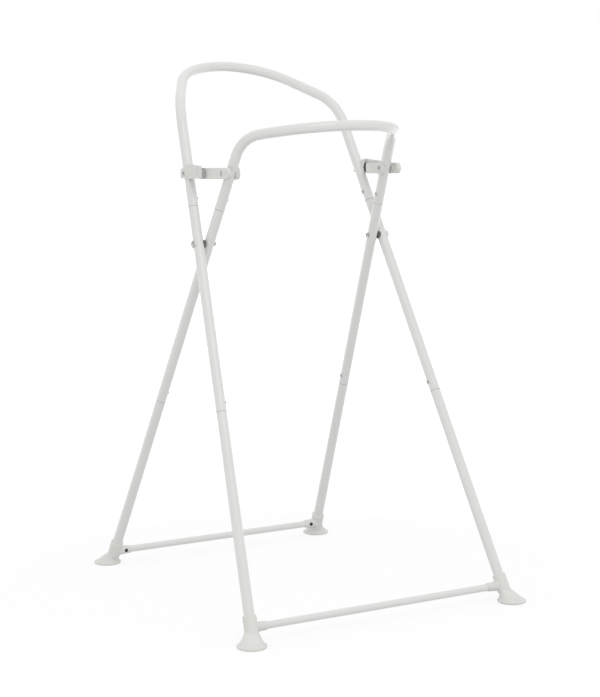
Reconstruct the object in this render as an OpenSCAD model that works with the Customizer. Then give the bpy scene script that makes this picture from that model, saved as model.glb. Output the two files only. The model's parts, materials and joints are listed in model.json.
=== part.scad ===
// Folding scissor stand that holds a baby bath at standing height.
// Two crossed frames of round steel tube turn on a pair of bolts. The outer frame has its feet in
// front and its bow at the rear, the inner frame the other way round. A locking strut on each side
// holds them open. Every frame plugs together from a top bow, two legs and two lower legs, which
// sprung buttons lock.
// +X right, +Y rear, +Z up. The origin is on the floor, below the middle of the stand.

/* [Tube] */
// Outer diameter of the frame tube
tube_d = 19; // [16:0.5:24]
// Wall thickness of the frame tube
tube_wall = 1.2; // [0.9:0.1:1.8]
// Length of the reduced spigot on top of every leg piece
spigot_l = 45; // [35:1:70]
// Radial clearance between a spigot and the tube around it
spigot_gap = 0.05; // [0.02:0.01:0.1]

/* [Stand] */
// Height of the two scissor pivots above the floor
pivot_h = 661; // [620:1:700]
// Distance from the pivots back to the leg axes at floor level
leg_run = 321; // [280:1:380]
// Distance between the outer frame's tube axes at the pivots
pivot_span = 397; // [340:1:480]
// Free space between an outer and an inner tube at the pivots
frame_gap = 3; // [2.5:0.1:6]
// Sideways splay of the outer legs, in degrees
outer_splay = 6.1; // [3:0.1:8]
// Sideways splay of the inner legs, in degrees
inner_splay = 5.3; // [3:0.1:8]
// Height of the joint between the bows and the legs above the pivots
upper_joint_rise = 65; // [52:1:76]
// Height of the joint between the outer legs and their lower legs
outer_lower_joint_h = 374; // [300:1:450]
// Height of the joint between the inner legs and their lower legs
inner_lower_joint_h = 352; // [300:1:450]

/* [Top bows] */
// Height where the outer bow's shoulder bends start, above the struts' pivots
outer_shoulder_rise = 81; // [40:1:110]
// Centre-line radius of the outer bow's shoulder bends
outer_shoulder_r = 110; // [60:1:125]
// Centre-line radius of the outer bow's hoop
outer_hoop_r = 135; // [90:1:145]
// Slope of the outer bow's hoop above the horizontal, in degrees
outer_hoop_slope = 24.5; // [10:0.5:40]
// Height where the inner bow's shoulder bends start, above the struts' pivots
inner_shoulder_rise = 31; // [26:1:60]
// Centre-line radius of the inner bow's shoulder bends
inner_shoulder_r = 69; // [50:1:80]
// Centre-line radius of the inner bow's hoop
inner_hoop_r = 155; // [90:1:158]
// Slope of the inner bow's hoop above the horizontal, in degrees
inner_hoop_slope = 10; // [0:0.5:30]
// Angle that each half of a hoop turns through, in degrees
hoop_turn = 62.5; // [50:0.5:68]

/* [Feet] */
// Diameter of a foot's base
base_d = 53; // [48:1:70]
// Thickness of a foot's rounded rim
rim_h = 4.5; // [4:0.5:9]
// Height of the waist where the flared base meets the sleeve
waist_h = 24; // [20:1:28]
// Outer diameter of a foot's sleeve
sleeve_d = 24.4; // [23:0.2:30]
// Height of a foot's sleeve above the floor
sleeve_h = 47; // [42:1:80]
// Sideways offset of a base from its leg axis
toe_x = 5.5; // [0:0.5:9]
// Offset of a base from its leg axis along the stand
toe_y = 4.5; // [0:0.5:9]
// Height of a lower leg's end above the floor, on its axis
leg_end_h = 9; // [8:0.5:12]
// Radial clearance of the tubes in a foot
foot_gap = 0.05; // [0.02:0.01:0.1]

/* [Cross bars] */
// Outer diameter of the cross bars
bar_d = 13; // [10:0.5:14]
// Wall thickness of the cross bars
bar_wall = 1; // [0.8:0.1:1.5]
// Height of the cross bars above the floor
bar_h = 27.5; // [24:0.5:32]
// How far the cross bars lie behind the leg axes, towards the middle of the stand
bar_inset = 3; // [0:0.5:5]
// Outer diameter of a foot's bar socket, at the sleeve
socket_d = 18; // [17:0.2:22]
// Outer diameter of a bar socket at its mouth
socket_mouth_d = 15.4; // [14.6:0.2:17]
// Length of a bar socket beyond the sleeve
socket_l = 20; // [16:1:30]

/* [Locking struts] */
// Height of a strut's pivot screw above the scissor pivots
strut_rise = 130; // [122:1:145]
// How much lower the stud sits than the strut's pivot
stud_drop = 3; // [0:0.5:6]
// Height of the strut's bar
strut_bar_h = 20; // [16:0.5:22]
// Thickness of the strut's bar
strut_t = 7.6; // [6:0.2:9]
// Length of the strut's nose beyond its pivot
strut_nose = 25.4; // [20:0.2:28]
// Length of the strut's tail beyond its stud
strut_tail = 12; // [9:0.5:16]
// Distance from the outer tube's axis forward to the stud
stud_reach = 53; // [48:0.2:58]
// Diameter of the stud that hooks the strut into its catch
stud_d = 6; // [5:0.5:7]
// Degrees that a strut turns up for every degree that the frames fold
strut_lift = 2.8; // [2:0.1:3]
// Height of the clip's saddle
clip_h = 27; // [24:0.5:30]
// Height of the clip's mouth
mouth_h = 22.6; // [20:0.2:24]
// Wall of the clip around the tube
clip_wall = 2.6; // [2:0.1:5]
// Wall of the clip's cheek beside the strut
cheek_t = 1.6; // [1.2:0.1:2]
// Thickness of the dark catch between the cheek and the strut
catch_t = 6.8; // [6:0.2:8]
// Distance from the outer tube's axis forward to the clip's mouth
clip_reach = 67.8; // [64:0.2:72]

/* [Fasteners] */
// Diameter of the pivot bolts
bolt_d = 6; // [5:0.5:8]
// Diameter of the saddle washers at the pivots
saddle_d = 15; // [14:0.5:18]
// Diameter of the struts' pivot screws
strut_screw_d = 5; // [4:0.5:6]
// Diameter of the saddle washers inside the inner bow
strut_washer_d = 24; // [20:0.5:26]
// Diameter of the clip screws
clip_screw_d = 4; // [3:0.5:5]
// Diameter of the cross-bar screws
bar_screw_d = 3.4; // [3:0.2:4]
// Radial clearance of every bolt and screw in its hole
hole_gap = 0.08; // [0.03:0.01:0.1]

/* [Snap buttons] */
// Diameter of a snap button
button_d = 6.6; // [5:0.2:8]
// How far a button stands out of the tube
button_out = 2.5; // [1.5:0.1:3]
// Distance along the leg from a joint up to its button
button_up = 18; // [14:0.5:24]
// Thickness of the button springs
spring_t = 0.7; // [0.4:0.1:0.9]
// Width of the button springs
spring_w = 6; // [4:0.2:6]

/* [Hidden] */
$fn = 64;

paint = [0.93, 0.93, 0.90];
plastic = [0.95, 0.94, 0.90];
steel = [0.45, 0.45, 0.46];
dark_plastic = [0.12, 0.12, 0.12];

tube_r = tube_d / 2;
bore_r = tube_r - tube_wall;
spigot_r = bore_r - spigot_gap;
spigot_bore_r = spigot_r - tube_wall;
neck_l = 6;
// A bend draws the wall in by this much, and the straight tubes run this far into it
bend_draw = 0.02;
bend_lap = 0.5;
spigot_bevel = 0.5;
// Small bevel that shows every tube joint as a ring
joint_bevel = 0.5;
// How far a cutting body runs past the faces it opens
overcut = 1;
// Free space kept between pieces that turn past each other
turn_gap = 0.3;

// A frame is its half width at the pivots and its splay
OUTER = [pivot_span / 2, outer_splay];
INNER = [pivot_span / 2 - tube_d - frame_gap, inner_splay];
slope = leg_run / pivot_h;
upper_joint_h = pivot_h + upper_joint_rise;
strut_h = pivot_h + strut_rise;
outer_shoulder_h = strut_h + outer_shoulder_rise;
inner_shoulder_h = strut_h + inner_shoulder_rise;

function unit(v) = v / norm(v);
// Direction up the right leg of a frame whose feet are in front
function leg_dir(f) = unit([-tan(f[1]), slope, 1]);
// Point on that leg's axis at height z
function leg_at(f, z) = [f[0] - tan(f[1]) * (z - pivot_h), slope * (z - pivot_h), z];
// Length along the leg between two heights
function along(f, z0, z1) = norm(leg_at(f, z1) - leg_at(f, z0));
// Distance from the leg's axis to its surface, straight sideways
function crown(f) = tube_r / sqrt(1 - pow(leg_dir(f).x, 2));

// Puts children on the leg at height z, with +Z up the leg and +X away from the stand
module on_leg(f, z)
  translate(leg_at(f, z))
    rotate([-asin(leg_dir(f).y), -f[1], 0])
      children();

// Everything is drawn for a right side with its feet in front, and mirrored from there
module on_left(left)
  if (left) mirror([1, 0, 0]) children();
  else children();

module turned_round(inner)
  if (inner) mirror([0, 1, 0]) children();
  else children();

// ---------- Tubes ----------

// Hole for a snap button, on the inner side of a leg
module button_hole(up)
  translate([0, 0, up])
    rotate([0, -90, 0])
      cylinder(r = button_d / 2 + hole_gap, h = tube_d);

// Straight leg tube with its swaged spigot on top
module leg_tube(length)
  rotate_extrude()
    polygon([
      [bore_r, 0], [tube_r - joint_bevel, 0], [tube_r, joint_bevel],
      [tube_r, length - joint_bevel], [tube_r - joint_bevel, length], [spigot_r, length],
      [spigot_r, length + spigot_l - spigot_bevel],
      [spigot_r - spigot_bevel, length + spigot_l],
      [spigot_bore_r, length + spigot_l], [spigot_bore_r, length],
      [bore_r, length - neck_l]
    ]);

// Hole straight sideways through a frame at height z, on one side of the tube or on both
module side_hole(f, z, d, to_inside = true, to_outside = true)
  translate(leg_at(f, z) - [to_inside ? tube_d : 0, 0, 0])
    rotate([0, 90, 0])
      cylinder(d = d + 2 * hole_gap, h = tube_d * ((to_inside ? 1 : 0) + (to_outside ? 1 : 0)));

module middle_leg(f, lower_joint_h)
  difference() {
    length = along(f, lower_joint_h, upper_joint_h);
    on_leg(f, lower_joint_h)
      difference() {
        leg_tube(length);
        button_hole(button_up);
        button_hole(length + button_up);
      }
    side_hole(f, pivot_h, bolt_d);
  }

module lower_leg(f, lower_joint_h)
  on_leg(f, leg_end_h)
    difference() {
      length = along(f, leg_end_h, lower_joint_h);
      leg_tube(length);
      button_hole(length + button_up);
    }

// ---------- Top bows ----------

// Puts children at point p with +Z along heading d and +X towards heading e
module heading(p, d, e) {
  x = unit(e - (e * d) * d);
  y = cross(d, x);
  multmatrix([
    [x.x, y.x, d.x, p.x],
    [x.y, y.y, d.y, p.y],
    [x.z, y.z, d.z, p.z],
    [0, 0, 0, 1]
  ])
    children();
}

// Bent tube that starts at the origin along +Z and turns towards +X
module bend(r, angle)
  translate([r, 0, 0])
    rotate([90, 0, 180])
      rotate_extrude(angle = angle)
        translate([r, 0])
          difference() {
            circle(r = tube_r - bend_draw);
            circle(r = bore_r + bend_draw);
          }

// Straight tube along +Z that runs a little way into the bends at its ends
module straight_tube(from, to)
  translate([0, 0, from])
    linear_extrude(to - from)
      difference() {
        circle(r = tube_r);
        circle(r = bore_r);
      }

// A bow's leg, with a bevelled rim where it stands on the leg below
module bow_leg(length)
  rotate_extrude()
    polygon([
      [bore_r, 0], [tube_r - joint_bevel, 0], [tube_r, joint_bevel], [tube_r, length],
      [bore_r, length]
    ]);

// A top bow: on each side the leg, a shoulder bend and a short straight, then one hoop across
module bow(f, shoulder_h, shoulder_r, hoop_r, hoop_slope) {
  up = leg_dir(f);
  back = [-cos(hoop_turn), sin(hoop_turn) * cos(hoop_slope), sin(hoop_turn) * sin(hoop_slope)];
  shoulder_turn = acos(up * back);
  shoulder = leg_at(f, shoulder_h);
  side = unit(back - (back * up) * up);
  bend_end = shoulder + shoulder_r * (1 - cos(shoulder_turn)) * side
    + shoulder_r * sin(shoulder_turn) * up;
  straight = (bend_end.x - hoop_r * sin(hoop_turn)) / cos(hoop_turn);
  hoop_start = bend_end + straight * back;
  both_sides() {
    on_leg(f, upper_joint_h)
      bow_leg(along(f, upper_joint_h, shoulder_h) + bend_lap);
    heading(shoulder, up, back)
      bend(shoulder_r, shoulder_turn);
    heading(bend_end, back, [-1, 0, 0])
      straight_tube(-bend_lap, straight + bend_lap);
  }
  heading(hoop_start, back, [-1, 0, 0])
    bend(hoop_r, 2 * hoop_turn);
}

module bow_with_holes(f, shoulder_h, shoulder_r, hoop_r, hoop_slope)
  difference() {
    bow(f, shoulder_h, shoulder_r, hoop_r, hoop_slope);
    for (left = [false, true])
      on_left(left) {
        on_leg(f, upper_joint_h)
          button_hole(button_up);
        if (f == OUTER)
          side_hole(f, clip_screw_h, clip_screw_d, to_inside = false);
        else
          side_hole(f, strut_h, strut_screw_d);
      }
  }

module outer_top_bow()
  color(paint)
    bow_with_holes(OUTER, outer_shoulder_h, outer_shoulder_r, outer_hoop_r, outer_hoop_slope);

module inner_top_bow()
  color(paint)
    turned_round(true)
      bow_with_holes(INNER, inner_shoulder_h, inner_shoulder_r, inner_hoop_r, inner_hoop_slope);

// ---------- Feet and cross bars ----------

base_r = base_d / 2;
sleeve_r = sleeve_d / 2;
flare_steps = 6;
sleeve_bevel = 1;
socket_bevel = 0.5;
flare_power = 1.4;
bar_seat = 2;
bar_screw_in = 8;
bar_screw_head_d = 7;
bar_screw_head_h = 2.2;
// A cross recess: its length and width as shares of the head's diameter, its floor of the height
cross_l = 0.56;
cross_w = 0.15;
cross_floor = 0.4;
bar_screw_l = 9;
spot_depth = 1.4;

function base_centre(f) = [leg_at(f, 0).x + toe_x, leg_at(f, 0).y - toe_y, 0];
function bar_at(f) = leg_at(f, bar_h) + [0, bar_inset, 0];
function socket_mouth(f) = bar_at(f).x - sleeve_r - socket_l;
function bar_end(f) = bar_at(f).x - tube_r - bar_seat;
function bar_screw_x(f) = socket_mouth(f) + socket_l - bar_screw_in;
// The flare's radius and centre, from the rim at t = 0 up to the waist at t = 1
function flare_r(t) = sleeve_r + (base_r - rim_h / 2 - sleeve_r) * pow(1 - t, flare_power);
function flare_z(t) = rim_h * 0.7 + (waist_h - rim_h * 0.7) * t;
function flare_at(f, t) = base_centre(f) * (1 - t) + leg_at(f, flare_z(t)) * t;

module flare_disc(f, t)
  translate([flare_at(f, t).x, flare_at(f, t).y, flare_z(t)])
    cylinder(r = flare_r(t), h = 0.02, $fn = 32);

module foot(f)
  difference() {
    union() {
      translate(base_centre(f))
        rotate_extrude() {
          square([base_r - rim_h / 2, rim_h]);
          translate([base_r - rim_h / 2, rim_h / 2])
            intersection() {
              circle(d = rim_h);
              translate([0, -rim_h])
                square(2 * rim_h);
            }
        }
      for (i = [0 : flare_steps - 1])
        hull() {
          flare_disc(f, i / flare_steps);
          flare_disc(f, (i + 1) / flare_steps);
        }
      on_leg(f, waist_h - sleeve_r * slope)
        rotate_extrude()
          polygon([
            [0, 0], [sleeve_r, 0],
            [sleeve_r, along(f, waist_h - sleeve_r * slope, sleeve_h) - sleeve_bevel],
            [sleeve_r - sleeve_bevel, along(f, waist_h - sleeve_r * slope, sleeve_h)],
            [0, along(f, waist_h - sleeve_r * slope, sleeve_h)]
          ]);
      translate([socket_mouth(f), bar_at(f).y, bar_h])
        rotate([0, 90, 0])
          rotate_extrude()
            polygon([
              [0, 0], [socket_mouth_d / 2 - socket_bevel, 0], [socket_mouth_d / 2, socket_bevel],
              [socket_d / 2, socket_l], [socket_d / 2, socket_l + sleeve_r],
              [0, socket_l + sleeve_r]
            ]);
    }
    on_leg(f, leg_end_h)
      cylinder(r = tube_r + foot_gap, h = 3 * sleeve_h);
    translate([socket_mouth(f) - overcut, bar_at(f).y, bar_h])
      rotate([0, 90, 0])
        cylinder(r = bar_d / 2 + foot_gap,
          h = bar_end(f) + foot_gap - socket_mouth(f) + overcut);
    bar_screw_place(f) {
      cylinder(d = bar_screw_d + 2 * hole_gap, h = bar_screw_l + foot_gap);
      mirror([0, 0, 1])
        cylinder(d = bar_screw_head_d + 0.6, h = socket_d);
    }
  }

// Puts children where a cross-bar screw enters its socket, with +Z into the socket
module bar_screw_place(f)
  translate([bar_screw_x(f), bar_at(f).y + socket_d / 2 - spot_depth, bar_h])
    rotate([90, 0, 0])
      children();

module bar_screw(f)
  bar_screw_place(f) {
    cylinder(d = bar_screw_d, h = bar_screw_l);
    mirror([0, 0, 1])
      cross_head(bar_screw_head_d, bar_screw_head_h);
  }

module cross_bar(f)
  difference() {
    translate([-bar_end(f), bar_at(f).y, bar_h])
      rotate([0, 90, 0])
        difference() {
          cylinder(d = bar_d, h = 2 * bar_end(f));
          translate([0, 0, -overcut])
            cylinder(d = bar_d - 2 * bar_wall, h = 2 * (bar_end(f) + overcut));
        }
    for (left = [false, true])
      on_left(left)
        bar_screw_place(f)
          cylinder(d = bar_screw_d + 2 * hole_gap, h = bar_screw_l);
  }

// Low domed screw head that stands on the origin
module pan_head(d, h)
  intersection() {
    cylinder(d = d, h = h);
    translate([0, 0, h - pow(d / 2, 2) / (2 * 0.45 * h) - 0.45 * h / 2])
      sphere(r = pow(d / 2, 2) / (2 * 0.45 * h) + 0.45 * h / 2);
  }

// The same head with a cross recess
module cross_head(d, h)
  difference() {
    pan_head(d, h);
    for (turn = [0, 90])
      rotate(turn)
        translate([-d * cross_l / 2, -d * cross_w / 2, h * cross_floor])
          cube([d * cross_l, d * cross_w, h]);
  }

// ---------- Scissor pivots ----------

bolt_head_d = 9;
bolt_head_h = 2.2;
pivot_nut_d = 10.4;
pivot_nut_h = 3.4;
saddle_h = 1.5;
saddle_wrap = 5;

outer_x = OUTER[0];
inner_x = INNER[0];
outer_crown_x = outer_x + crown(OUTER);
nut_seat_x = outer_crown_x + saddle_h;
bolt_seat_x = inner_x - crown(INNER) - tan(inner_splay) * bolt_head_d / 2 - turn_gap;
spacer_seat_x = inner_x + crown(INNER) + tan(inner_splay) * saddle_d / 2 + turn_gap;

// Puts children on the pivot axis at x, with +Z away from the stand
module on_pivot(x)
  translate([x, 0, pivot_h])
    rotate([0, 90, 0])
      children();

module pivot_bolt() {
  on_pivot(bolt_seat_x)
    cylinder(d = bolt_d, h = nut_seat_x + pivot_nut_h * 0.7 - bolt_seat_x);
  on_pivot(bolt_seat_x)
    mirror([0, 0, 1])
      cross_head(bolt_head_d, bolt_head_h);
}

module pivot_nut()
  on_pivot(nut_seat_x)
    difference() {
      pan_head(pivot_nut_d, pivot_nut_h);
      translate([0, 0, -overcut])
        cylinder(d = bolt_d + 2 * hole_gap, h = overcut + pivot_nut_h * 0.7 + hole_gap);
    }

// Washer from x to x + h that is cut to sit on a leg's tube
module saddle_washer(f, z, x, h, d, bore)
  difference() {
    translate([x, leg_at(f, z).y, z])
      rotate([0, 90, 0])
        difference() {
          cylinder(d = d, h = h);
          translate([0, 0, -overcut])
            cylinder(d = bore + 2 * hole_gap, h = h + 2 * overcut);
        }
    on_leg(f, z)
      cylinder(r = tube_r, h = 2 * d, center = true);
  }

module pivot_saddle()
  saddle_washer(OUTER, pivot_h, outer_x + saddle_wrap, nut_seat_x - outer_x - saddle_wrap,
    saddle_d, bolt_d);

module pivot_spacer()
  saddle_washer(OUTER, pivot_h, spacer_seat_x, outer_x - saddle_wrap - spacer_seat_x,
    saddle_d, bolt_d);

// ---------- Locking struts and clips ----------

strut_pivot = [leg_at(INNER, strut_h).x, -leg_at(INNER, strut_h).y, strut_h];
clip_axis = leg_at(OUTER, strut_h);
inner_crown_in_x = strut_pivot.x - crown(INNER);
inner_crown_out_x = strut_pivot.x + crown(INNER);
// The strut's inner face stays clear of the inner tube when its nose swings down
strut_in_x = inner_crown_out_x + tan(inner_splay) * strut_nose + turn_gap;
strut_out_x = strut_in_x + strut_t;
strut_boss_d = 16;
strut_boss_x = inner_crown_out_x + tan(inner_splay) * strut_boss_d / 2 + turn_gap;
stud_y = clip_axis.y - stud_reach;
stud_h = strut_h - stud_drop;
strut_l = norm([stud_y - strut_pivot.y, stud_drop]);
strut_tilt = asin(stud_drop / strut_l);
strut_corner_r = 3;
catch_gap = 1.6;
stud_depth = 4;
stud_l = catch_gap + stud_depth;
stud_clear = 0.35;

nut_af = 8;
nut_h = 3.4;
nut_recess_d = 10.4;
nut_recess_h = 4.2;
washer_h = 4;
washer_wrap = 4.5;
strut_head_d = 9;
strut_head_h = 2.6;
head_recess = 1.2;

catch_in_x = strut_out_x + catch_gap;
cheek_in_x = catch_in_x + catch_t;
cheek_out_x = cheek_in_x + cheek_t;
clip_r = tube_r + clip_wall;
clip_out_x = clip_axis.x + clip_r;
clip_lean = slope * clip_h / 2;
clip_mouth_y = clip_axis.y - clip_reach;
clip_front_y = clip_axis.y - clip_lean - clip_r;
saddle_ledge = 3;
catch_inset = 0.5;
catch_tail = clip_wall - 0.4;
// The catch sits at the stud's height, so that the strut hides it from the inside
catch_h = strut_bar_h - 4;
catch_r = (pow(catch_t, 2) + pow(mouth_h / 2, 2)) / (2 * catch_t);
stud_end_gap = 0.6;
// The shallow sunk panel in the cheek, just behind its front rim
panel_rim = 1.6;
panel_l = 16;
panel_h = mouth_h - 4 * panel_rim;
panel_depth = 0.8;
panel_corner_r = 1.5;
clip_screw_drop = 5;
clip_screw_h = strut_h - clip_screw_drop;
// The stud leaves its slot up and to the rear, along its own path when the frames fold
slot_angle = atan2((strut_lift - 1) * (stud_y - strut_pivot.y) - strut_pivot.y,
  (strut_lift - 1) * stud_drop + strut_rise);

// Drawn along +Y from its pivot at the origin, then tilted into place
module strut()
  translate([0, strut_pivot.y, strut_h])
    rotate([-strut_tilt, 0, 0])
      difference() {
        union() {
          translate([strut_in_x, 0, 0])
            rotate([90, 0, 90])
              linear_extrude(strut_t)
                strut_outline();
          translate([strut_boss_x, 0, 0])
            rotate([0, 90, 0])
              cylinder(d = strut_boss_d, h = strut_in_x - strut_boss_x + overcut);
          translate([strut_out_x - overcut, strut_l, 0])
            rotate([0, 90, 0])
              cylinder(d = stud_d, h = stud_l + overcut);
        }
        translate([strut_boss_x - overcut, 0, 0])
          rotate([0, 90, 0])
            cylinder(d = strut_screw_d + 2 * hole_gap,
              h = strut_t + strut_in_x - strut_boss_x + 2 * overcut);
        translate([strut_out_x - nut_recess_h, 0, 0])
          rotate([0, 90, 0])
            cylinder(d = nut_recess_d, h = nut_recess_h + overcut);
      }

// Side view of the strut: round nose, straight bar, tail with rounded corners
module strut_outline() {
  half = strut_bar_h / 2;
  nose_y = half - strut_nose;
  end_y = strut_l + strut_tail;
  translate([nose_y, 0])
    circle(r = half);
  translate([nose_y, -half])
    square([end_y - strut_corner_r - nose_y, strut_bar_h]);
  translate([end_y - strut_corner_r, strut_corner_r - half])
    square([strut_corner_r, strut_bar_h - 2 * strut_corner_r]);
  for (s = [-1, 1])
    translate([end_y - strut_corner_r, s * (half - strut_corner_r)])
      circle(r = strut_corner_r);
}

// Plan view of the saddle, which leans with the tube and stops short of the strut's plane
module saddle_plan()
  intersection() {
    union() {
      for (s = [-1, 1])
        translate([clip_axis.x, clip_axis.y + s * clip_lean])
          circle(r = clip_r);
      translate([clip_axis.x - clip_r, clip_axis.y - clip_lean])
        square([2 * clip_r, 2 * clip_lean]);
    }
    translate([catch_in_x, clip_axis.y - clip_reach])
      square([2 * clip_r, 2 * clip_reach]);
  }

// Side view of the cheek, which narrows from the saddle to the mouth
module cheek_outline()
  polygon([
    [clip_axis.y, -clip_h / 2], [clip_axis.y, clip_h / 2], [clip_front_y, clip_h / 2],
    [clip_mouth_y, mouth_h / 2], [clip_mouth_y, -mouth_h / 2], [clip_front_y, -clip_h / 2]
  ]);

module clip()
  difference() {
    union() {
      translate([0, 0, strut_h - clip_h / 2])
        linear_extrude(clip_h)
          saddle_plan();
      translate([cheek_in_x, 0, strut_h])
        rotate([90, 0, 90])
          linear_extrude(cheek_t)
            cheek_outline();
    }
    on_leg(OUTER, strut_h)
      cylinder(r = tube_r + foot_gap, h = 4 * clip_h, center = true);
    // The saddle's top falls to the rear, square to the tube
    translate([0, clip_front_y + saddle_ledge, strut_h + clip_h / 2])
      rotate([-atan(slope), 0, 0])
        cube([2 * clip_out_x, 4 * clip_reach, 2 * clip_h]);
    translate([clip_axis.x, leg_at(OUTER, clip_screw_h).y, clip_screw_h])
      rotate([0, 90, 0])
        cylinder(d = clip_screw_d + 2 * hole_gap, h = 2 * clip_r);
    translate([cheek_out_x - panel_depth, clip_mouth_y + panel_rim, strut_h - panel_h / 2])
      rotate([90, 0, 90])
        linear_extrude(panel_depth + overcut)
          rounded_rect(panel_l, panel_h, panel_corner_r);
    catch_bar(clip_front_y - overcut, foot_gap);
  }

// Rectangle with rounded corners, from the origin
module rounded_rect(l, h, r) {
  translate([r, 0])
    square([l - 2 * r, h]);
  translate([0, r])
    square([l, h - 2 * r]);
  for (x = [r, l - r], y = [r, h - r])
    translate([x, y])
      circle(r = r);
}

// Bar that lies along the cheek and bulges towards the strut, from y to its end in the saddle
module catch_bar(y, gap)
  translate([0, clip_front_y + catch_tail + gap, stud_h])
    rotate([90, 0, 0])
      linear_extrude(clip_front_y + catch_tail + gap - y)
        intersection() {
          translate([catch_in_x + catch_r, 0])
            circle(r = catch_r + gap);
          translate([catch_in_x - overcut, -catch_h / 2 - gap])
            square([catch_t + overcut + gap, catch_h + 2 * gap]);
        }

// Dark catch with the slot that the strut's stud drops into
module stud_catch()
  difference() {
    catch_bar(clip_mouth_y + catch_inset, 0);
    translate([catch_in_x - overcut, stud_y, stud_h])
      rotate([90, 0, 90])
        linear_extrude(overcut + stud_depth + stud_end_gap)
          rotate(slot_angle) {
            circle(r = stud_d / 2 + stud_clear);
            translate([0, -stud_d / 2 - stud_clear])
              square([2 * clip_h, stud_d + 2 * stud_clear]);
          }
  }

clip_screw_head_d = 8;
clip_screw_head_h = 2.4;
clip_screw_l = clip_r - spigot_bore_r;

module clip_screw()
  translate([clip_out_x, leg_at(OUTER, clip_screw_h).y, clip_screw_h])
    rotate([0, 90, 0]) {
      cross_head(clip_screw_head_d, clip_screw_head_h);
      mirror([0, 0, 1])
        cylinder(d = clip_screw_d, h = clip_screw_l);
    }

washer_x = inner_crown_in_x - washer_h;
strut_nut_x = strut_out_x - nut_recess_h + turn_gap;

module strut_washer()
  turned_round(true)
    difference() {
      saddle_washer(INNER, strut_h, washer_x, washer_h + washer_wrap, strut_washer_d,
        strut_screw_d);
      translate([washer_x - overcut, leg_at(INNER, strut_h).y, strut_h])
        rotate([0, 90, 0])
          cylinder(d = strut_head_d + 0.6, h = overcut + head_recess);
    }

module strut_screw() {
  seat = washer_x + head_recess;
  translate([seat, strut_pivot.y, strut_h])
    rotate([0, 90, 0]) {
      cylinder(d = strut_screw_d, h = strut_nut_x + nut_h - seat);
      mirror([0, 0, 1])
        cross_head(strut_head_d, strut_head_h);
    }
}

module strut_nut()
  translate([strut_nut_x, strut_pivot.y, strut_h])
    rotate([0, 90, 0])
      difference() {
        cylinder(d = nut_af / cos(30), h = nut_h, $fn = 6);
        translate([0, 0, -overcut])
          cylinder(d = strut_screw_d + 2 * hole_gap, h = nut_h + 2 * overcut);
      }

// ---------- Snap buttons ----------

button_r = button_d / 2;
flange_r = 4.5;
flange_t = 1;
// The flange stays clear of the spigot's round bore
flange_x = sqrt(pow(spigot_bore_r, 2) - pow(flange_r, 2)) - turn_gap;
dome_h = 1.5;
spring_front_x = flange_x - flange_t;
// The spring's back leaf lies against the far side of the spigot's bore
spring_back_x = sqrt(pow(spigot_bore_r, 2) - pow(spring_w / 2, 2)) - 0.02;
spring_bend_r = (spring_front_x + spring_back_x) / 2;
spring_l = 20;
dome_r = (pow(button_r, 2) + pow(dome_h, 2)) / (2 * dome_h);

// Snap button that points along +Z, with the tube's axis at the origin
module button()
  rotate_extrude() {
    translate([0, spring_front_x])
      square([flange_r, flange_t]);
    translate([0, spring_front_x])
      square([button_r, tube_r + button_out - dome_h - spring_front_x]);
    intersection() {
      translate([0, tube_r + button_out - dome_h])
        square([button_r, dome_h]);
      translate([0, tube_r + button_out - dome_r])
        circle(r = dome_r);
    }
  }

// U-shaped leaf spring behind a button, hanging down inside the tube
module spring()
  translate([-spring_front_x, 0, 0])
    rotate([90, 0, 0])
      linear_extrude(spring_w, center = true) {
        translate([0, -spring_l])
          square([spring_t, spring_l + flange_r]);
        translate([2 * spring_bend_r - spring_t, -spring_l])
          square([spring_t, spring_l + flange_r / 2]);
        translate([spring_bend_r, -spring_l])
          difference() {
            circle(r = spring_bend_r);
            circle(r = spring_bend_r - spring_t);
            translate([-2 * spring_bend_r, 0])
              square(4 * spring_bend_r);
          }
      }

module at_button(f, joint_h, inner, left)
  on_left(left)
    turned_round(inner)
      on_leg(f, joint_h)
        translate([0, 0, button_up])
          children();

module snap_button(f, joint_h, inner, left)
  color(steel)
    at_button(f, joint_h, inner, left)
      rotate([0, -90, 0])
        button();

module snap_spring(f, joint_h, inner, left)
  color(steel)
    at_button(f, joint_h, inner, left)
      spring();

// ---------- Pieces ----------

module both_sides() {
  children();
  mirror([1, 0, 0])
    children();
}

module outer_leg(left)
  color(paint)
    on_left(left)
      middle_leg(OUTER, outer_lower_joint_h);

module inner_leg(left)
  color(paint)
    on_left(left)
      turned_round(true)
        middle_leg(INNER, inner_lower_joint_h);

module outer_lower_leg(left)
  color(paint)
    on_left(left)
      lower_leg(OUTER, outer_lower_joint_h);

module inner_lower_leg(left)
  color(paint)
    on_left(left)
      turned_round(true)
        lower_leg(INNER, inner_lower_joint_h);

module front_foot(left)
  color(plastic)
    on_left(left)
      foot(OUTER);

module rear_foot(left)
  color(plastic)
    on_left(left)
      turned_round(true)
        foot(INNER);

module front_cross_bar()
  color(paint)
    cross_bar(OUTER);

module rear_cross_bar()
  color(paint)
    turned_round(true)
      cross_bar(INNER);

module front_bar_screws()
  color(steel)
    both_sides()
      bar_screw(OUTER);

module rear_bar_screws()
  color(steel)
    both_sides()
      turned_round(true)
        bar_screw(INNER);

module lock_clip(left)
  color(plastic)
    on_left(left)
      clip();

module lock_catch(left)
  color(dark_plastic)
    on_left(left)
      stud_catch();

module lock_strut(left)
  color(plastic)
    on_left(left)
      strut();

module lock_clip_screws()
  color(steel)
    both_sides()
      clip_screw();

module pivot_bolts()
  color(steel)
    both_sides()
      pivot_bolt();

module pivot_nuts()
  color(steel)
    both_sides()
      pivot_nut();

module pivot_saddles()
  color(plastic)
    both_sides()
      pivot_saddle();

module pivot_spacers()
  color(dark_plastic)
    both_sides()
      pivot_spacer();

module strut_screws()
  color(steel)
    both_sides()
      strut_screw();

module strut_nuts()
  color(steel)
    both_sides()
      strut_nut();

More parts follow.
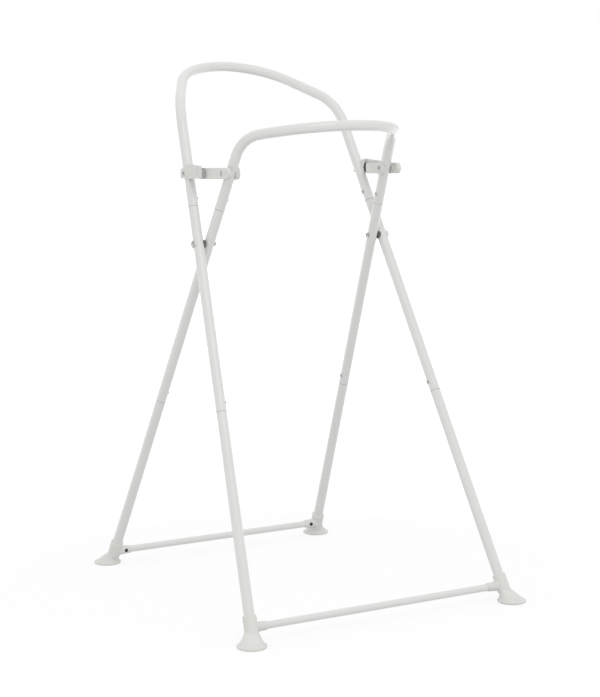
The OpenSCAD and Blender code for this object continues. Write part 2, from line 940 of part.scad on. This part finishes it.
module strut_washers()
  color(plastic)
    both_sides()
      strut_washer();

outer_top_bow();
outer_leg(true);  // outer_left_leg
outer_leg(false);  // outer_right_leg
outer_lower_leg(true);  // outer_left_lower_leg
outer_lower_leg(false);  // outer_right_lower_leg
front_foot(true);  // front_left_foot
front_foot(false);  // front_right_foot
front_cross_bar();
front_bar_screws();
lock_clip(true);  // left_lock_clip
lock_clip(false);  // right_lock_clip
lock_catch(true);  // left_lock_catch
lock_catch(false);  // right_lock_catch
lock_clip_screws();
pivot_bolts();
pivot_nuts();
pivot_saddles();
pivot_spacers();
inner_top_bow();
inner_leg(true);  // inner_left_leg
inner_leg(false);  // inner_right_leg
inner_lower_leg(true);  // inner_left_lower_leg
inner_lower_leg(false);  // inner_right_lower_leg
rear_foot(true);  // rear_left_foot
rear_foot(false);  // rear_right_foot
rear_cross_bar();
rear_bar_screws();
strut_screws();
strut_nuts();
strut_washers();
lock_strut(true);  // left_lock_strut
lock_strut(false);  // right_lock_strut
snap_button(OUTER, upper_joint_h, false, true);  // outer_left_upper_button
snap_button(OUTER, upper_joint_h, false, false);  // outer_right_upper_button
snap_button(OUTER, outer_lower_joint_h, false, true);  // outer_left_lower_button
snap_button(OUTER, outer_lower_joint_h, false, false);  // outer_right_lower_button
snap_button(INNER, upper_joint_h, true, true);  // inner_left_upper_button
snap_button(INNER, upper_joint_h, true, false);  // inner_right_upper_button
snap_button(INNER, inner_lower_joint_h, true, true);  // inner_left_lower_button
snap_button(INNER, inner_lower_joint_h, true, false);  // inner_right_lower_button
snap_spring(OUTER, upper_joint_h, false, true);  // outer_left_upper_spring
snap_spring(OUTER, upper_joint_h, false, false);  // outer_right_upper_spring
snap_spring(OUTER, outer_lower_joint_h, false, true);  // outer_left_lower_spring
snap_spring(OUTER, outer_lower_joint_h, false, false);  // outer_right_lower_spring
snap_spring(INNER, upper_joint_h, true, true);  // inner_left_upper_spring
snap_spring(INNER, upper_joint_h, true, false);  // inner_right_upper_spring
snap_spring(INNER, inner_lower_joint_h, true, true);  // inner_left_lower_spring
snap_spring(INNER, inner_lower_joint_h, true, false);  // inner_right_lower_spring
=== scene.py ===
"""Looks of the folding bath stand: powder-coated tube, moulded plastic, zinc and spring steel."""

import json
import math

import bmesh
import bpy
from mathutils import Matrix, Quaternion, Vector


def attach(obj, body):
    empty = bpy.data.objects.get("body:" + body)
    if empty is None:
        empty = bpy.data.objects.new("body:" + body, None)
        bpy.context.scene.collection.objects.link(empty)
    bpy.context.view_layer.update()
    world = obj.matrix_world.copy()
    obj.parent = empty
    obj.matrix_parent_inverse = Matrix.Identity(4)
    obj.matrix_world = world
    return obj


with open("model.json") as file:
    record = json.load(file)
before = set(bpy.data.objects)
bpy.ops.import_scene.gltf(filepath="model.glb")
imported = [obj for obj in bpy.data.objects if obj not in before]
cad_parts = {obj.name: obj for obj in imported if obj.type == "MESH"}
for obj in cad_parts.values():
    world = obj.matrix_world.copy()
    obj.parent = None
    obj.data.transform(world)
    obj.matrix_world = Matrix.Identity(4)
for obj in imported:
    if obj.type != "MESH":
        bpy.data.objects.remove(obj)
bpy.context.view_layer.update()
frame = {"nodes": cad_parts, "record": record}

UP = Vector((0, 0, 1))
WHITE = (1.0, 1.0, 1.0, 1.0)


def add_to_scene(thing, place, direction, roll=0.0):
    """Puts a camera or a lamp at place, looking in direction and rolled round it."""
    bpy.context.scene.collection.objects.link(thing)
    thing.location = place
    thing.rotation_mode = "QUATERNION"
    thing.rotation_quaternion = direction.to_track_quat("-Z", "Y") @ Quaternion(UP, roll)


# ---------- Camera ----------

# Fitted to the feet, pivots, joints and hoops as they stand in the photograph
CAMERA_AIM = Vector((0.0148, 0.0, 0.4528))
CAMERA_DISTANCE = 3.5725
CAMERA_AZIMUTH = math.radians(-30.5)
CAMERA_ELEVATION = math.radians(8.08)
CAMERA_ROLL = math.radians(-0.26)
FOCAL_PIXELS = 1887.5
IMAGE_HEIGHT = 697
SENSOR_MM = 36.0
VIEW_DEPTH = 50.0


def add_camera():
    """Adds the camera at the photograph's viewing angle."""
    data = bpy.data.cameras.new("camera")
    data.sensor_width = SENSOR_MM
    data.lens = FOCAL_PIXELS / IMAGE_HEIGHT * SENSOR_MM
    data.clip_end = VIEW_DEPTH
    camera = bpy.data.objects.new("camera", data)
    back = Vector((
        math.sin(CAMERA_AZIMUTH) * math.cos(CAMERA_ELEVATION),
        -math.cos(CAMERA_AZIMUTH) * math.cos(CAMERA_ELEVATION),
        math.sin(CAMERA_ELEVATION),
    ))
    add_to_scene(camera, CAMERA_AIM + CAMERA_DISTANCE * back, -back, CAMERA_ROLL)
    bpy.context.scene.camera = camera


# ---------- Node trees ----------

class Nodes:
    """An emptied node tree, and short ways to add nodes to it."""

    def __init__(self, tree):
        self.tree = tree
        self.tree.nodes.clear()

    def add(self, kind, **values):
        node = self.tree.nodes.new(kind)
        for key, value in values.items():
            setattr(node, key, value)
        return node

    def link(self, source, target):
        self.tree.links.new(source, target)

    def mapped(self, value, low=0.0, high=1.0, start=0.3, end=0.7):
        """The value, with the range from start to end brought to the range from low to high."""
        node = self.add("ShaderNodeMapRange")
        node.inputs["From Min"].default_value = start
        node.inputs["From Max"].default_value = end
        node.inputs["To Min"].default_value = low
        node.inputs["To Max"].default_value = high
        self.link(value, node.inputs["Value"])
        return node.outputs["Result"]

    def combined(self, operation, first, second, clamp=False):
        """Result of a Math node on a node's output and a second output or a number."""
        node = self.add("ShaderNodeMath", operation=operation, use_clamp=clamp)
        self.link(first, node.inputs[0])
        if isinstance(second, float):
            node.inputs[1].default_value = second
        else:
            self.link(second, node.inputs[1])
        return node.outputs[0]

    def seen_directly(self):
        """1 for rays that see the backdrop itself, in the camera, in gloss or through glass."""
        rays = self.add("ShaderNodeLightPath")
        total = rays.outputs["Is Camera Ray"]
        for name in ("Is Glossy Ray", "Is Transmission Ray"):
            total = self.combined("ADD", total, rays.outputs[name], clamp=True)
        return total


class Paint(Nodes):
    """A new material with its Principled shader."""

    def __init__(self, name):
        self.material = bpy.data.materials.new(name)
        self.material.use_nodes = True
        super().__init__(self.material.node_tree)
        self.output = self.add("ShaderNodeOutputMaterial")
        self.shader = self.add("ShaderNodeBsdfPrincipled")
        self.link(self.shader.outputs["BSDF"], self.output.inputs["Surface"])
        self.place = self.add("ShaderNodeTexCoord").outputs["Object"]

    def constant(self, socket, value):
        self.shader.inputs[socket].default_value = value

    def noise(self, scale, detail=3.0, roughness=0.55, stretch=(1, 1, 1)):
        mapping = self.add("ShaderNodeMapping")
        mapping.inputs["Scale"].default_value = stretch
        node = self.add("ShaderNodeTexNoise")
        node.inputs["Scale"].default_value = scale
        node.inputs["Detail"].default_value = detail
        node.inputs["Roughness"].default_value = roughness
        self.link(self.place, mapping.inputs["Vector"])
        self.link(mapping.outputs["Vector"], node.inputs["Vector"])
        return node.outputs["Fac"]

    def mixed(self, factor, first, second):
        """Colour between first and second, each a colour or another node's output."""
        node = self.add("ShaderNodeMix", data_type="RGBA")
        self.link(factor, node.inputs["Factor"])
        for socket, colour in ((node.inputs["A"], first), (node.inputs["B"], second)):
            if isinstance(colour, tuple):
                socket.default_value = (*colour, 1.0)
            else:
                self.link(colour, socket)
        return node.outputs["Result"]

    def surfaced(self, colour, roughness, bumps):
        """The finished material. Each of its bumps is (height, distance in metres)."""
        self.link(colour, self.shader.inputs["Base Color"])
        self.link(roughness, self.shader.inputs["Roughness"])
        last = None
        for height, distance in bumps:
            node = self.add("ShaderNodeBump")
            node.inputs["Strength"].default_value = 1.0
            node.inputs["Distance"].default_value = distance
            self.link(height, node.inputs["Height"])
            if last:
                self.link(last, node.inputs["Normal"])
            last = node.outputs["Normal"]
        self.link(last, self.shader.inputs["Normal"])
        return self.material


# ---------- Materials ----------

# Where there are two colours, the surface varies between them
COAT_COLOURS = ((0.773, 0.776, 0.757), (0.793, 0.796, 0.777))
SPECK_COLOUR = (0.66, 0.66, 0.64)
MOULDED_COLOURS = ((0.755, 0.750, 0.722), (0.785, 0.781, 0.755))
# Painted shade: the catch's black is its dark plastic and also stands in for the deep shade
# inside the clip
CATCH_BLACK_AND_SHADE_COLOURS = ((0.020, 0.020, 0.021), (0.040, 0.039, 0.038))
# Painted shade: the mid grey of white plastic in shade, put on the catch's nose
NOSE_PAINTED_SHADE_COLOUR = (0.44, 0.44, 0.43)
# Painted shade: the pivot spacers' near black is their nylon and also the shade between the
# crossing tubes
SPACER_NYLON_AND_SHADE_COLOURS = ((0.10, 0.10, 0.10), (0.14, 0.14, 0.135))
# Painted shade: dark rings in the joints' grooves stand in for the shade in the gaps
SEAM_SHADE_COLOURS = ((0.27, 0.27, 0.26), (0.34, 0.34, 0.33))
ZINC_COLOURS = ((0.34, 0.34, 0.345), (0.50, 0.50, 0.49))
BLACKENED_COLOURS = ((0.05, 0.05, 0.052), (0.09, 0.09, 0.09))
SPRING_COLOURS = ((0.42, 0.42, 0.43), (0.56, 0.56, 0.57))
# A catch's nose, painted the mid grey of plastic in shade, ends at this y in metres, and turns
# black over this length behind it
SHADED_NOSE_END = 0.003
SHADED_NOSE_BLEND = 0.003


def powder_coat():
    """White powder coat: faint orange peel and cloudiness under a thin satin skin."""
    n = Paint("powder_coat")
    n.constant("Coat Weight", 0.4)
    n.constant("Coat Roughness", 0.14)
    clouded = n.mixed(n.mapped(n.noise(7.0)), *COAT_COLOURS)
    speck = n.mapped(n.noise(1400.0, detail=1.0), start=0.70, end=0.76)
    satin = n.mapped(n.noise(45.0), 0.30, 0.40)
    orange_peel = n.noise(420.0, detail=2.0)
    skin = n.noise(1900.0, detail=2.0)
    return n.surfaced(n.mixed(speck, clouded, SPECK_COLOUR), satin,
                      [(orange_peel, 0.00003), (skin, 0.000008)])


def moulded_plastic():
    """Warm white moulded plastic with a fine spark-eroded grain and faint flow marks."""
    n = Paint("moulded_plastic")
    n.constant("Subsurface Weight", 0.06)
    n.constant("Subsurface Radius", (0.004, 0.004, 0.003))
    flow = n.mapped(n.noise(30.0, detail=4.0, stretch=(1, 1, 0.3)))
    dullness = n.mapped(n.noise(160.0), 0.42, 0.55)
    grain = n.noise(2600.0, detail=2.0)
    waves = n.noise(120.0)
    return n.surfaced(n.mixed(flow, *MOULDED_COLOURS), dullness,
                      [(grain, 0.00002), (waves, 0.00004)])


def dark_plastic(name, colours, painted_shade_nose=None):
    """Dark moulded plastic, dulled by a fine grain, also used for painted shade, with its nose in
    a painted-shade grey if given.
    """
    n = Paint(name)
    colour = n.mixed(n.mapped(n.noise(260.0, detail=4.0)), *colours)
    # Painted shade: the nose takes a mid grey, blending into the body's colour behind it
    if painted_shade_nose:
        along = n.add("ShaderNodeSeparateXYZ")
        n.link(n.place, along.inputs[0])
        painted_shade_share = n.mapped(along.outputs["Y"], 1.0, 0.0, SHADED_NOSE_END, SHADED_NOSE_END + SHADED_NOSE_BLEND)
        colour = n.mixed(painted_shade_share, colour, painted_shade_nose)
    dullness = n.mapped(n.noise(900.0), 0.45, 0.62)
    grain = n.noise(2400.0, detail=2.0)
    return n.surfaced(colour, dullness, [(grain, 0.00003)])


def plated_steel(name, colours):
    """Dull plated steel with a fine spangle."""
    n = Paint(name)
    n.constant("Metallic", 1.0)
    spangle = n.mapped(n.noise(700.0, detail=4.0))
    dullness = n.mapped(n.noise(1500.0), 0.30, 0.48)
    grain = n.noise(2200.0, detail=3.0)
    return n.surfaced(n.mixed(spangle, *colours), dullness, [(grain, 0.00002)])


def spring_steel():
    """Bright rolled strip with lengthwise rolling marks."""
    n = Paint("spring_steel")
    n.constant("Metallic", 1.0)
    rolled = n.noise(900.0, detail=2.0, stretch=(1, 1, 0.04))
    return n.surfaced(n.mixed(n.mapped(rolled), *SPRING_COLOURS),
                      n.mapped(rolled, 0.22, 0.36), [(rolled, 0.00001)])


# ---------- CAD nodes ----------

# Radius in metres by which a slot's sharp edges are rounded, apart from the feet, which have
# their rounded edges already
EDGE_ROUND = {"white_plastic": 0.0006, "dark_plastic": 0.0004}
ROUND_SEGMENTS = 2
SHARP_ANGLE = math.radians(40)
# Corners closer than this are one corner, so that the faces of a CAD mesh hang together
JOIN_DISTANCE = 0.000002


def round_edges(piece, radius):
    """Rounds a moulded piece's sharp edges and shades its faces smoothly between them."""
    weld = piece.modifiers.new("join_faces", "WELD")
    weld.merge_threshold = JOIN_DISTANCE
    bevel = piece.modifiers.new("round_edges", "BEVEL")
    bevel.width = radius
    bevel.segments = ROUND_SEGMENTS
    bevel.limit_method = "ANGLE"
    bevel.angle_limit = SHARP_ANGLE
    bevel.use_clamp_overlap = True
    bevel.harden_normals = True


def dress_cad_nodes():
    """Gives every CAD node the material of its slot in the record, or its own."""
    of_slot = {
        "steel_tube": powder_coat(),
        "white_plastic": moulded_plastic(),
        # Black catch plastic that also paints the shade in the clip, with a nose of painted grey
        # shade
        "dark_plastic": dark_plastic("catch_plastic_and_painted_shade", CATCH_BLACK_AND_SHADE_COLOURS, NOSE_PAINTED_SHADE_COLOUR),
        "dark_steel": plated_steel("zinc_steel", ZINC_COLOURS),
        "spring_steel": spring_steel(),
    }
    blackened = plated_steel("blackened_steel", BLACKENED_COLOURS)
    of_node = {
        "front_bar_screws": blackened,
        "rear_bar_screws": blackened,
        # Near black nylon that also paints the shade between the crossing tubes
        "pivot_spacers": dark_plastic("nylon_and_painted_shade", SPACER_NYLON_AND_SHADE_COLOURS),
    }
    for row in frame["record"]["subparts"]:
        node, slot = row["node"], row["material_slot"]
        piece = frame["nodes"][node]
        piece.data.materials.clear()
        piece.data.materials.append(of_node.get(node, of_slot[slot]))
        if slot in EDGE_ROUND and not node.endswith("_foot"):
            round_edges(piece, EDGE_ROUND[slot])


# ---------- Painted shade in the seams at the tube joints ---

# The pivots' height, and how far the legs run forwards or backwards from there to the floor
PIVOT_HEIGHT = 0.661
LEG_RUN = 0.321
LEG_SLOPE = LEG_RUN / PIVOT_HEIGHT
UPPER_JOINT = 0.726
# A frame: half width at the pivots, splay in degrees, height of its lower joints, and 1 if its
# feet are in front or -1 if they are at the rear
FRAMES = {"outer_frame": (0.1985, 6.1, 0.374, 1), "inner_frame": (0.1765, 5.3, 0.352, -1)}
# The section of a seam's ring of painted shade, which fills the groove between two tubes:
# (radius, height)
SEAM_SECTION = ((0.0089, 0.0), (0.00936, 0.00035), (0.00936, -0.00035))
SEAM_STEPS = 64


def add_ring(mesh, place, axis):
    """Sweeps the seam's section round the axis through place."""
    turn = UP.rotation_difference(axis)
    loops = []
    for step in range(SEAM_STEPS):
        angle = 2 * math.pi * step / SEAM_STEPS
        loops.append([
            mesh.verts.new(place + turn @ Vector((r * math.cos(angle), r * math.sin(angle), h)))
            for r, h in SEAM_SECTION
        ])
    for first, second in zip(loops, loops[1:] + loops[:1]):
        for i in range(len(SEAM_SECTION)):
            j = (i + 1) % len(SEAM_SECTION)
            mesh.faces.new((first[i], first[j], second[j], second[i]))


def add_seams():
    """Thin dark rings of painted shade where the tubes of a frame plug together."""
    shade = dark_plastic("seam_shade", SEAM_SHADE_COLOURS)
    for body, (half_width, splay, lower_joint, side_of_feet) in FRAMES.items():
        lean = math.tan(math.radians(splay))
        mesh = bmesh.new()
        for side in (-1, 1):
            axis = Vector((-side * lean, side_of_feet * LEG_SLOPE, 1)).normalized()
            for height in (UPPER_JOINT, lower_joint):
                rise = height - PIVOT_HEIGHT
                place = Vector((side * (half_width - lean * rise),
                                side_of_feet * LEG_SLOPE * rise, height))
                add_ring(mesh, place, axis)
        bmesh.ops.recalc_face_normals(mesh, faces=mesh.faces)
        data = bpy.data.meshes.new(body + "_seams")
        mesh.to_mesh(data)
        mesh.free()
        data.materials.append(shade)
        piece = bpy.data.objects.new(body + "_seams", data)
        bpy.context.scene.collection.objects.link(piece)
        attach(piece, body)


# ---------- Studio ----------

FLOOR_SIZE = 30.0
FLOOR_DROP = 0.0005
FLOOR_COLOUR = (0.72, 0.72, 0.72, 1.0)
FLOOR_ROUGHNESS = 0.9
# Share of the light from below the floor that the camera sees through it
FLOOR_CLEARNESS = 0.70
# The floor's own glow, where it is seen directly: (metres from the middle, strength)
GLOW_NEAR = (0.55, 0.30)
GLOW_FAR = (1.50, 1.0)
WORLD_STRENGTH = 0.87
LAMP_PLACE = Vector((-0.6, -2.6, 3.4))
LAMP_AIM = Vector((0.0, 0.0, 0.5))
LAMP_SIZE = 1.5
LAMP_WATTS = 16.0


def floor_paint():
    """Pale floor that keeps the shadows and is lifted to the white of the backdrop.

    The camera sees partly through it, because the folded frames reach below it.
    """
    n = Paint("floor_paint")
    n.constant("Base Color", FLOOR_COLOUR)
    n.constant("Roughness", FLOOR_ROUGHNESS)
    n.constant("Specular IOR Level", 0.0)
    n.constant("Emission Color", WHITE)
    distance = n.add("ShaderNodeVectorMath", operation="LENGTH")
    n.link(n.place, distance.inputs[0])
    glow = n.mapped(distance.outputs["Value"], GLOW_NEAR[1], GLOW_FAR[1],
                    GLOW_NEAR[0], GLOW_FAR[0])
    n.link(n.combined("MULTIPLY", glow, n.seen_directly()), n.shader.inputs["Emission Strength"])
    camera_ray = n.add("ShaderNodeLightPath").outputs["Is Camera Ray"]
    clear = n.add("ShaderNodeMixShader")
    n.link(n.combined("MULTIPLY", camera_ray, FLOOR_CLEARNESS), clear.inputs["Fac"])
    n.link(n.shader.outputs["BSDF"], clear.inputs[1])
    n.link(n.add("ShaderNodeBsdfTransparent").outputs["BSDF"], clear.inputs[2])
    n.link(clear.outputs["Shader"], n.output.inputs["Surface"])
    return n.material


def add_floor():
    """Adds the floor just below the feet."""
    bpy.ops.mesh.primitive_plane_add(size=FLOOR_SIZE, location=(0, 0, -FLOOR_DROP))
    floor = bpy.context.active_object
    floor.name = "floor"
    floor.data.materials.append(floor_paint())


def add_world():
    """Soft white surroundings, and plain white where the backdrop itself is seen."""
    world = bpy.data.worlds.new("studio")
    world.use_nodes = True
    bpy.context.scene.world = world
    n = Nodes(world.node_tree)
    output = n.add("ShaderNodeOutputWorld")
    background = n.add("ShaderNodeBackground")
    background.inputs["Color"].default_value = WHITE
    strength = n.mapped(n.seen_directly(), WORLD_STRENGTH, 1.0, start=0.0, end=1.0)
    n.link(strength, background.inputs["Strength"])
    n.link(background.outputs["Background"], output.inputs["Surface"])


def add_lamp():
    """Adds one large soft lamp above the stand's front, a little to its left."""
    data = bpy.data.lights.new("key_light", "AREA")
    data.shape = "SQUARE"
    data.size = LAMP_SIZE
    data.energy = LAMP_WATTS
    lamp = bpy.data.objects.new("key_light", data)
    add_to_scene(lamp, LAMP_PLACE, LAMP_AIM - LAMP_PLACE)


bpy.context.scene.view_settings.view_transform = "Standard"
add_camera()
dress_cad_nodes()
add_seams()
add_floor()
add_world()
add_lamp()
